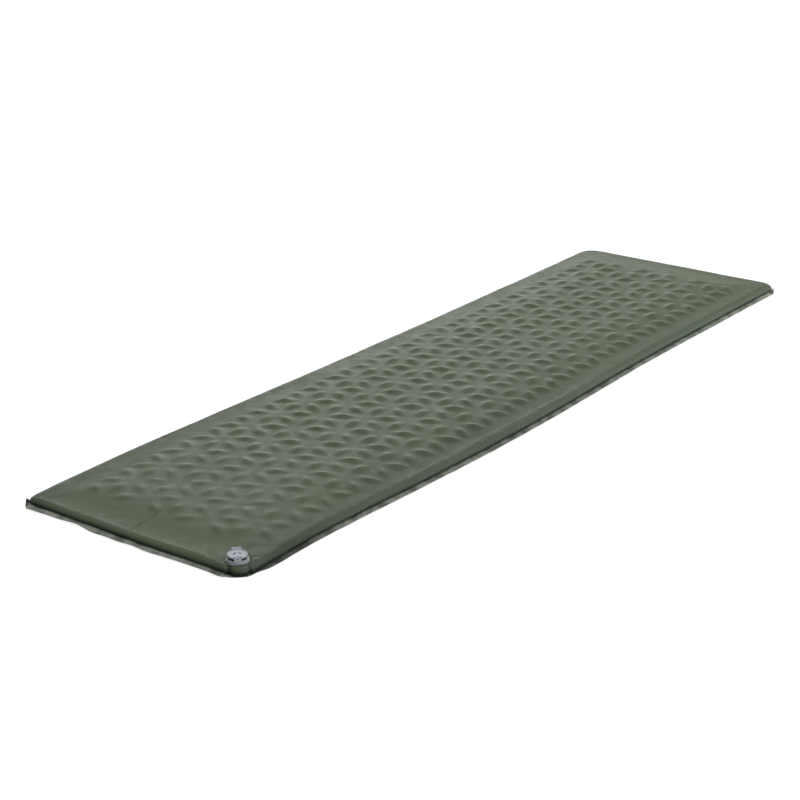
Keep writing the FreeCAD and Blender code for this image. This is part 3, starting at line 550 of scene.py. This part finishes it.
def weld_edge(outline):
    """Both sheets' rims pressed into one band that droops and waves."""
    run = outline.run
    folded = near_valve(outline.wall(WALL))
    inner = outline.wall(WALL + TUCK_DEPTH + 0.8 * MM)
    tucked = outline.wall(WALL + TUCK_DEPTH + 7 * MM)
    inner = inner * (1 - folded[:, None]) + tucked * folded[:, None]
    outer = outline.rim()
    out = outward(outer)
    near_end = smooth(-outer[:, 1], HALF_LENGTH - 40 * MM, HALF_LENGTH - 4 * MM)
    ripple = waves(31, 0.018, 0.06, 30)(run)
    wander = waves(32, 0.05, 0.3)(run)
    wave = (ripple * 0.25 + wander * 0.75) * (0.25 + 2.4 * near_end) * MM
    wave -= 0.5 * MM * (1 + near_end)
    outer = outer + out * wave[:, None]
    lively = 0.35 + 0.65 * near_end
    droop = EDGE_LEVEL + (waves(33, 0.05, 0.25)(run) * 1.2 + ripple * 0.5) * lively * MM
    droop = np.clip(droop, 0.9 * MM, None)
    # the two square corners stand up as stiff pointed ears
    for sx, sy, reach, height, tilt in EARS:
        corner = np.array([sx * HALF_WIDTH, sy * HALF_LENGTH])
        gap = np.linalg.norm(outer - corner, axis=1)
        ear = smooth(-gap, -reach * MM, -3 * MM)
        droop = droop + ear * height * MM
        outer = outer - ear[:, None] * np.array([sx, sy]) * tilt * MM
    # at the valve's corner the band is folded under the side
    under = outline.wall(WALL + 2.2 * MM)
    outer = outer * (1 - folded[:, None]) + under * folded[:, None]
    droop = droop * (1 - folded) + 0.7 * MM * folded
    root = (SEAM - 0.3 * MM) * (1 - folded) + 1.5 * MM * folded
    upper, lower = [], []
    for k in range(BAND_ROWS):
        part = k / (BAND_ROWS - 1)
        spot = outer * (1 - part) + inner * part
        line = droop * (1 - part) + root * part
        belly = math.sin(part * math.pi) * (0.4 * MM + 0.5 * MM * waves(34, 0.015, 0.05)(run))
        belly = belly * (1 - folded)
        upper.append(level(spot, line + belly + BAND_HALF))
        lower.append(level(spot, line + belly - BAND_HALF))
    rows = upper + lower[::-1]
    count = outline.count
    faces = []
    for row in range(len(rows)):
        faces += band_faces(count, row * count, ((row + 1) % len(rows)) * count)
    made = new_object("weld_edge", settled(np.concatenate(rows)), faces)
    made.data.materials.append(FABRIC_WELD)
    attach(made, "pad")
    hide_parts("top_sheet", "bottom_sheet")


# ---------------------------------------------------------------- the underside

def bottom_fabric(outline):
    """The lower sheet: rounded down from the seam, and flat on the floor."""
    rings = []
    start = WALL + 2.6 * MM
    folded = near_valve(outline.wall(WALL))
    depth = (SEAM - 0.6 * MM) * (1 - folded) + 1.2 * MM * folded
    for turn in np.radians(np.linspace(0, 90, 9)):
        inset = start + UNDER_ROUND * (1 - math.cos(turn))
        rings.append(level(outline.wall(inset), depth * (1 - math.sin(turn))))
    last = start + UNDER_ROUND
    steps = 5
    for k in range(1, steps + 1):
        rings.append(level(outline.wall(last + (MARGIN - last) * k / steps), 0))
    rings[-1][:, :2] = outline.unit * [outline.inner_x, outline.inner_y]
    vertices, faces = sheet_mesh(outline, rings, low_side=True)
    made = new_object("bottom_fabric", settled(vertices), faces)
    made.data.materials.append(FABRIC_BOTTOM)
    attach(made, "pad")
    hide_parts("bottom_sheet")


# ---------------------------------------------------------------- the foam inside

def foam_slab(outline):
    """The die-cut core: it follows the sheets from inside, with a pit where each slot is."""
    rings = []
    for part in np.linspace(0, 1, 6):
        rings.append(level(outline.wall(FOAM_INSET), FOAM_LOW + part * (BELLY - FOAM_LOW)))
    for part in np.linspace(0.2, 1, 12):
        inset = FOAM_INSET + (MARGIN - FOAM_INSET) * part ** 1.8
        ring = outline.wall(inset)
        height = swollen(inset - FOAM_INSET + 1 * MM, ring) - ROLL - FOAM_UNDER
        rings.append(level(ring, height))
    rings[-1][:, :2] = outline.unit * [outline.inner_x, outline.inner_y]
    vertices, faces = sheet_mesh(outline, rings)
    inner = vertices[len(rings) * outline.count:]
    raise_inside(inner)
    inner[:, 2] -= ROLL + FOAM_UNDER
    x, y, z = vertices.T.copy()
    radius = np.hypot(x - VALVE[0], y - VALVE[1])
    kept = [f for f in faces if max(radius[i] for i in f) > FOAM_ROOM]
    upper = smooth(z, BELLY - 4 * MM, TOP - FOAM_UNDER)
    # it lies lower under the middle crease, so that it doesn't come through the sheet
    crease = bell(x, 12 * MM) * smooth(-y, HALF_LENGTH - 130 * MM, HALF_LENGTH - 70 * MM)
    z = z - (corner_drop(x, y) + SLOT_DEPTH * slot_mask(x, y) + 1.8 * MM * crease) * upper
    ceiling = SEAT - 4 * FOAM_UNDER
    rise = smooth(radius, SEAT_FLAT, SEAT_RUN)
    vertices[:, 2] = np.where(z > ceiling, ceiling + (z - ceiling) * rise, z)
    # the flat underside
    low_rings = [level(outline.wall(FOAM_INSET + step), FOAM_LOW) for step in (0, 20 * MM)]
    low_rings.append(level(outline.unit * [outline.inner_x, outline.inner_y], FOAM_LOW))
    low_vertices, low_faces = sheet_mesh(outline, low_rings, low_side=True)
    low_radius = np.linalg.norm(low_vertices[:, :2] - VALVE, axis=1)
    low_kept = [f for f in low_faces if max(low_radius[i] for i in f) > FOAM_ROOM]
    kept += [[i + len(vertices) for i in f] for f in low_kept]
    made = new_object("foam_slab", settled(np.concatenate([vertices, low_vertices])), kept)
    made.data.materials.append(FOAM)
    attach(made, "pad")
    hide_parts("foam_core")


# ---------------------------------------------------------------- materials

class Graph:
    """A node material, with short calls for the nodes it is made of."""

    def __init__(self, name, roughness, **sockets):
        self.material = bpy.data.materials.new(name)
        self.material.use_nodes = True
        self.tree = self.material.node_tree
        self.shader = self.tree.nodes["Principled BSDF"]
        self.shader.inputs["Roughness"].default_value = roughness
        for socket, value in sockets.items():
            self.shader.inputs[socket.replace("_", " ")].default_value = value
        self.place = self.node("ShaderNodeTexCoord").outputs["Object"]

    def node(self, kind, inputs=None, **settings):
        """A node with its settings made and its inputs linked or set."""
        made = self.tree.nodes.new(kind)
        for key, value in settings.items():
            setattr(made, key, value)
        for key, value in (inputs or {}).items():
            self.feed(made.inputs[key], value)
        return made

    def feed(self, socket, value):
        if isinstance(value, bpy.types.NodeSocket):
            self.tree.links.new(value, socket)
        else:
            socket.default_value = value

    def stretched(self, scale, turn=0.0):
        """Object coordinates scaled, and turned about Z."""
        made = self.node("ShaderNodeMapping", {"Vector": self.place})
        made.inputs["Scale"].default_value = scale
        made.inputs["Rotation"].default_value = (0, 0, turn)
        return made.outputs["Vector"]

    def axes(self, place=None):
        """The X, Y and Z of a place, which is the object's own unless another is given."""
        split = self.node("ShaderNodeSeparateXYZ", {"Vector": place or self.place})
        return [split.outputs[k] for k in "XYZ"]

    def distance(self, point):
        """How far the place shaded is from a point."""
        made = self.node("ShaderNodeVectorMath", operation="DISTANCE")
        self.feed(made.inputs[0], self.place)
        made.inputs[1].default_value = point
        return made.outputs["Value"]

    def noise(self, scale, detail=3.0, roughness=0.5, place=None):
        made = self.node("ShaderNodeTexNoise", {"Vector": place or self.place})
        for socket, value in (("Scale", scale), ("Detail", detail), ("Roughness", roughness)):
            made.inputs[socket].default_value = value
        return made.outputs["Fac"]

    def wave(self, place, scale, bands="X", distortion=0.0):
        inputs = {"Vector": place, "Scale": scale, "Distortion": distortion, "Detail": 1.0}
        made = self.node("ShaderNodeTexWave", inputs, bands_direction=bands)
        return made.outputs["Fac"]

    def math(self, operation, first, second=0.0, third=0.0):
        made = self.node("ShaderNodeMath", operation=operation)
        for socket, value in zip(made.inputs, (first, second, third)):
            self.feed(socket, value)
        return made.outputs[0]

    def ramp(self, value, low, high, to_low=0.0, to_high=1.0):
        """From to_low where the value is low to to_high where it is high, and level outside."""
        sockets = ("Value", "From Min", "From Max", "To Min", "To Max")
        inputs = dict(zip(sockets, (value, low, high, to_low, to_high)))
        return self.node("ShaderNodeMapRange", inputs).outputs["Result"]

    def mix(self, factor, first, second, blend="MIX"):
        made = self.node("ShaderNodeMix", data_type="RGBA", blend_type=blend)
        self.feed(made.inputs["Factor"], factor)
        self.feed(made.inputs[6], first)
        self.feed(made.inputs[7], second)
        return made.outputs[2]

    def colour(self, value):
        self.feed(self.shader.inputs["Base Color"], value)

    def rough(self, value):
        self.feed(self.shader.inputs["Roughness"], value)

    def bump(self, height, distance, strength=1.0, under=None):
        """Raises the surface by a height, over the relief under it."""
        inputs = {"Height": height, "Distance": distance, "Strength": strength}
        made = self.node("ShaderNodeBump", inputs)
        if under is not None:
            self.feed(made.inputs["Normal"], under)
        self.feed(self.shader.inputs["Normal"], made.outputs["Normal"])
        return made.outputs["Normal"]


def weave(graph, pitch):
    """Height of a plain weave with the given thread pitch."""
    place = graph.stretched((1 / pitch, 1 / pitch, 1 / pitch))
    warp, weft = (graph.wave(place, WAVE_UNIT, bands, 0.4) for bands in "XY")
    return graph.math("MULTIPLY", warp, weft)


def multiplied(graph, colour, factor):
    """A colour made darker or paler by a factor."""
    grey = graph.node("ShaderNodeCombineColor", dict.fromkeys(("Red", "Green", "Blue"), factor))
    return graph.mix(1.0, colour, grey.outputs["Color"], "MULTIPLY")


def from_sides(graph, x, start, stop, to_start=0.0, to_stop=1.0):
    """A ramp between two distances in mm from the long sides."""
    across = graph.math("ABSOLUTE", x)
    return graph.ramp(across, HALF_WIDTH - start * MM, HALF_WIDTH - stop * MM, to_start, to_stop)


def from_end(graph, y, start, stop, to_start=0.0, to_stop=1.0):
    """A ramp between two distances in mm from the valve's end."""
    return graph.ramp(y, start * MM - HALF_LENGTH, stop * MM - HALF_LENGTH, to_start, to_stop)


def blended(graph, part, first, second):
    """The number first where part is 0 and second where it is 1."""
    return graph.math("MULTIPLY_ADD", part, graph.math("SUBTRACT", second, first), first)


def wall_zone(graph):
    """1 on the walls of the long sides, and 0 on the rest of the sheet."""
    return from_sides(graph, graph.axes()[0], 22, 11)


def side_shade(graph):
    """Painted shade and light on the top sheet by place: on its walls, and on the margins of its
    top.
    """
    x, y, z = graph.axes()
    # painted shade along the seam of the long sides, and up the whole wall at the valve's end
    narrow = graph.ramp(z, SEAM - 0.5 * MM, SEAM + 5 * MM, 0.25, 1.0)
    lower = graph.ramp(z, SEAM + 1 * MM, CREST - 2 * MM, 0.78, 1.0)
    narrow = graph.math("MULTIPLY", narrow, lower)
    wide = graph.ramp(z, SEAM - 0.5 * MM, CREST - 4 * MM, 0.15, 1.0)
    painted_shade = blended(graph, from_end(graph, y, 24, 13), narrow, wide)
    # a slow fade along the pad, painted shade on the margins, and painted light on the flat at
    # the valve's end
    painted_tone = graph.ramp(y, -0.75, 0.75, 0.95, 1.07)
    margin = from_sides(graph, x, 75, 30, 1.0, graph.ramp(y, -0.2, 0.6, 0.8, 1.0))
    painted_tone = graph.math("MULTIPLY", painted_tone, margin)
    painted_tone = graph.math("MULTIPLY", painted_tone, from_end(graph, y, 125, 60, 1.0, 1.1))
    # painted light makes the long sides' walls paler, and painted shade darkens them beside the
    # valve's corner
    shaded = graph.distance((HALF_WIDTH + 10 * MM, 120 * MM - HALF_LENGTH, 0))
    shaded = graph.ramp(shaded, 30 * MM, 150 * MM, 0.72, 1.0)
    painted_wall_light = graph.math("MULTIPLY", shaded, graph.ramp(y, -0.85, 0.6, 1.22, 1.42))
    painted_wall_light = blended(graph, wall_zone(graph), 1.0, painted_wall_light)
    return graph.math("MULTIPLY", painted_shade, graph.math("MULTIPLY", painted_wall_light, painted_tone))


def hollow_shade(graph, radii, floor, heights, darkest):
    """Painted shade in a hollow round the valve's axis: darker inside the radii and near its
    floor's height.
    """
    from_axis = graph.node("ShaderNodeVectorMath", operation="SUBTRACT")
    graph.feed(from_axis.inputs[0], graph.place)
    from_axis.inputs[1].default_value = (*VALVE, 0)
    x, y, z = graph.axes(from_axis.outputs["Vector"])
    squares = [graph.math("MULTIPLY", side, side) for side in (x, y)]
    radius = graph.math("SQRT", graph.math("ADD", *squares))
    away = graph.math("ABSOLUTE", graph.math("SUBTRACT", z, floor))
    outside = graph.ramp(radius, *radii, darkest, 1.0)
    above = graph.ramp(away, *heights, darkest, 1.0)
    return graph.math("MAXIMUM", outside, above)


def fabric(name, colour, patch, rough, sheen=0.02, fine=1.0, upper=False):
    """Coated cloth, mottled between two colours; upper adds what only the top sheet has."""
    graph = Graph(name, rough, Sheen_Weight=sheen, Sheen_Roughness=0.3)
    graph.shader.inputs["Sheen Tint"].default_value = (0.82, 0.95, 0.72, 1)
    graph.shader.inputs["Specular IOR Level"].default_value = 0.02
    broad = graph.ramp(graph.noise(6, 3), 0.42, 0.62)
    base = graph.mix(broad, (*colour, 1), (*patch, 1))
    grain = graph.ramp(graph.noise(420, 4, 0.65), 0.3, 0.7, 0.84, 1.14)
    base = multiplied(graph, base, grain)
    if upper:
        # painted sheen on the long sides' walls, then painted shade and light by place
        base = graph.mix(wall_zone(graph), base, graph.mix(1.0, base, PAINTED_WALL_SHEEN, "MULTIPLY"))
        base = multiplied(graph, base, side_shade(graph))
        # painted shadow on the sheet round the collar's foot
        collar_shadow = hollow_shade(graph, (18.5 * MM, 25 * MM), SEAT, (4 * MM, 9 * MM), 0.3)
        base = multiplied(graph, base, collar_shadow)
    graph.colour(base)
    graph.rough(graph.ramp(graph.noise(60, 3), 0.3, 0.7, rough - 0.07, rough + 0.08))
    creased = graph.bump(graph.noise(95, 5, 0.6), 0.14 * MM * fine, 0.5)
    woven = graph.bump(weave(graph, THREAD), 0.05 * MM, 0.6, creased)
    if upper:
        drawn_lines(graph, woven)
    return graph.material


def drawn_lines(graph, under):
    """Fine lines of the top sheet: ribs of the cloth, gathers on the walls, a middle crease."""
    x, y, _ = graph.axes()
    ribs = graph.wave(graph.stretched((1, 1, 1), -RIB_TURN), WAVE_UNIT / RIB_PITCH, "Y", 3.0)
    ribbed = graph.bump(ribs, 0.10 * MM, 0.6, under)
    gathers = graph.wave(graph.place, WAVE_UNIT / GATHER_PITCH, "Y", 2.6)
    patchy = graph.ramp(graph.noise(14, 2), 0.38, 0.56)
    patchy = graph.math("MULTIPLY", from_end(graph, y, 110, 200), patchy)
    patchy = graph.math("MULTIPLY", from_sides(graph, x, 18, 12), patchy)
    gathers = graph.math("MULTIPLY", gathers, patchy)
    gathered = graph.bump(gathers, 1.8 * MM, 0.9, ribbed)
    # the crease is a pair of lines at the valve's end, 7 mm apart
    aside = graph.math("ABSOLUTE", graph.math("ADD", x, 1.5 * MM))
    aside = graph.math("ABSOLUTE", graph.math("SUBTRACT", aside, 3.5 * MM))
    line = graph.ramp(aside, 0, 1.8 * MM, 1.0, 0.0)
    line = graph.math("MULTIPLY", line, from_end(graph, y, 130, 70))
    graph.bump(graph.math("MULTIPLY", line, -1.0), 0.9 * MM, 0.9, gathered)


def weld_fabric():
    """The pressed double cloth of the welded edge, mottled and shiny, with painted light and
    shade.
    """
    graph = Graph("weld_fabric", 0.42, Specular_IOR_Level=0.2)
    mottle = graph.ramp(graph.noise(36, 4, 0.6), 0.38, 0.62)
    light, dark = (0.125, 0.135, 0.116, 1), (0.052, 0.059, 0.048, 1)
    base = graph.mix(mottle, dark, light)
    _, y, z = graph.axes()
    # painted light on the edge at the valve's end, and paler towards the far end
    painted_light_and_paler = from_end(graph, y, 60, 20, 1.0, 1.4)
    painted_light_and_paler = graph.math("MULTIPLY", painted_light_and_paler, graph.ramp(y, 0, 0.7, 1.0, 1.5))
    base = multiplied(graph, base, painted_light_and_paler)
    # painted shade where it goes in under the wall
    base = multiplied(graph, base, graph.ramp(z, SEAM - 0.2 * MM, SEAM - 1.2 * MM, 0.4, 1.0))
    # painted shade on the ears that stand up at the two square corners
    for sx, sy, *_ in EARS:
        gap = graph.distance((sx * (HALF_WIDTH - 2 * MM), sy * (HALF_LENGTH - 3 * MM), 13 * MM))
        base = multiplied(graph, base, graph.ramp(gap, 9 * MM, 14 * MM, 0.1, 1.0))
    # painted shade beside the valve's corner
    gap = graph.distance((HALF_WIDTH, 105 * MM - HALF_LENGTH, 0))
    base = multiplied(graph, base, graph.ramp(gap, 65 * MM, 150 * MM, 0.4, 1.0))
    graph.colour(base)
    pressed = graph.wave(graph.stretched((1, 1, 1), 0.7), 170, "X", 2.0)
    creased = graph.bump(graph.noise(220, 4), 0.5 * MM, 0.7)
    graph.bump(pressed, 0.15 * MM, 0.5, creased)
    return graph.material


def plastic(name, colour, rough, cloudy, hollow=None):
    """Moulded plastic or rubber; hollow is what hollow_shade takes."""
    graph = Graph(name, rough)
    graph.shader.inputs["Specular IOR Level"].default_value = 0.06
    tone = graph.ramp(graph.noise(180, 3), 0.3, 0.7, 1 - cloudy, 1 + cloudy)
    base = multiplied(graph, (*colour, 1), tone)
    if hollow:
        base = multiplied(graph, base, hollow_shade(graph, *hollow))
    graph.colour(base)
    graph.rough(graph.ramp(graph.noise(420, 4), 0.3, 0.7, rough - 0.06, rough + 0.08))
    graph.bump(graph.noise(1500, 3), 0.03 * MM, 0.4)
    return graph.material


def metal(name, colour, rough):
    """Drawn metal with fine streaks."""
    graph = Graph(name, rough, Metallic=1.0)
    streak = graph.noise(300, 3, 0.5, graph.stretched((1, 1, 12)))
    graph.colour(graph.mix(streak, (*[c * 0.8 for c in colour], 1), (*colour, 1)))
    graph.rough(graph.ramp(streak, 0.3, 0.7, rough - 0.08, rough + 0.1))
    return graph.material


FABRIC_TOP = fabric(
    "fabric_top", (0.054, 0.0645, 0.041), (0.052, 0.065, 0.0435), 0.62, 0.14, upper=True
)
FABRIC_BOTTOM = fabric(
    "fabric_bottom", (0.040, 0.045, 0.035), (0.044, 0.05, 0.038), 0.7, fine=0.6
)
FABRIC_WELD = weld_fabric()
FOAM = fabric("foam", (0.62, 0.58, 0.42), (0.66, 0.61, 0.45), 0.9)

# painted shade in the cap's arched slot and in the collar's finger recess: radii, floor and
# heights of each hollow, and the darkest shade
SLOT_HOLLOW = ((6.3 * MM, 6.7 * MM), 29.1 * MM, (0.3 * MM, 1.2 * MM), 0.3)
RECESS_HOLLOW = ((15 * MM, 17.6 * MM), 24.8 * MM, (2.4 * MM, 3.3 * MM), 0.16)

PALE_PLASTIC = (0.32, 0.34, 0.36)
BLACK_RUBBER = (0.03, 0.03, 0.032)

NODE_MATERIALS = {
    "valve_cap": plastic("plastic_cap", (0.168, 0.18, 0.2), 0.55, 0.06, SLOT_HOLLOW),
    "valve_collar": plastic("plastic_collar", (0.16, 0.172, 0.192), 0.55, 0.07, RECESS_HOLLOW),
    "valve_base": plastic("plastic_base", PALE_PLASTIC, 0.4, 0.08),
    "valve_core": plastic("plastic_core", (0.26, 0.28, 0.30), 0.42, 0.08),
    "valve_cage": plastic("plastic_cage", PALE_PLASTIC, 0.45, 0.08),
    "collar_gasket": plastic("silicone_gasket", BLACK_RUBBER, 0.5, 0.1),
    "core_seal": plastic("silicone_core_seal", BLACK_RUBBER, 0.5, 0.1),
    "cap_seal": plastic("silicone_cap_seal", BLACK_RUBBER, 0.5, 0.1),
    "check_flap": plastic("silicone_flap", (0.16, 0.17, 0.18), 0.5, 0.1),
    "hinge_pin": metal("steel_pin", (0.55, 0.55, 0.57), 0.3),
}


def finish_nodes():
    """Gives each CAD piece of the valve its material."""
    for name, material in NODE_MATERIALS.items():
        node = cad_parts[name]
        node.data.materials.clear()
        node.data.materials.append(material)


# ---------------------------------------------------------------- floor, light and camera

FLOOR_HALF = 14              # half the floor's side
SUNS = (                     # name, strength, and degrees of spread, azimuth and elevation
    ("key", 2.3, 14, 220, 17),
    ("overhead", 2.4, 40, 45, 74),
    ("fill", 2.6, 50, 98, 22),
)
SKY = 0.30                   # strength of the even light from all round
LENS = 89.6                  # mm, on a 36 mm sensor
CAMERA_PLACE = (2.164, -3.020, 1.429)
CAMERA_DOWN = 0.3739         # radians that the camera looks down from level
CAMERA_TURN = 0.6485         # radians that it is turned from +Y towards -X


def stage():
    """A pale paper floor that the pad lies on."""
    far = FLOOR_HALF
    corners = [(-far, -far, 0), (far, -far, 0), (far, far, 0), (-far, far, 0)]
    floor = new_object("floor", corners, [(0, 1, 2, 3)], smooth_shaded=False)
    graph = Graph("floor_paper", 0.85)
    tone = graph.noise(3, 2)
    graph.colour(graph.mix(tone, (0.14, 0.14, 0.14, 1), (0.16, 0.16, 0.16, 1)))
    graph.shader.inputs["Emission Color"].default_value = (1, 1, 1, 1)
    graph.shader.inputs["Emission Strength"].default_value = 0.82
    floor.data.materials.append(graph.material)


def sun(name, strength, spread, azimuth, elevation):
    """A soft far light. It stands at -Y for azimuth 0 and at +X for azimuth 90."""
    light = bpy.data.lights.new(name, "SUN")
    light.energy = strength
    light.angle = math.radians(spread)
    holder = bpy.data.objects.new(name, light)
    holder.rotation_euler = (math.radians(90 - elevation), 0, math.radians(azimuth))
    bpy.context.scene.collection.objects.link(holder)


def lights():
    """The three suns and an even white sky."""
    for values in SUNS:
        sun(*values)
    world = bpy.data.worlds.new("studio")
    world.use_nodes = True
    background = world.node_tree.nodes["Background"]
    background.inputs["Color"].default_value = (1, 1, 1, 1)
    background.inputs["Strength"].default_value = SKY
    bpy.context.scene.world = world
    bpy.context.scene.view_settings.view_transform = "Standard"


def camera():
    """The photo's camera, worked out from the pad's corners and edges in it."""
    data = bpy.data.cameras.new("camera")
    data.sensor_width = 36
    data.lens = LENS
    data.clip_start = 0.05
    data.clip_end = 60
    holder = bpy.data.objects.new("camera", data)
    holder.location = CAMERA_PLACE
    holder.rotation_euler = (math.pi / 2 - CAMERA_DOWN, 0, CAMERA_TURN)
    bpy.context.scene.collection.objects.link(holder)
    bpy.context.scene.camera = holder


# ---------------------------------------------------------------- the scene

outline = Outline(STEP)
top_fabric(outline)
weld_edge(outline)
bottom_fabric(Outline(3 * STEP))
foam_slab(Outline(1.25 * STEP))
finish_nodes()
stage()
lights()
camera()
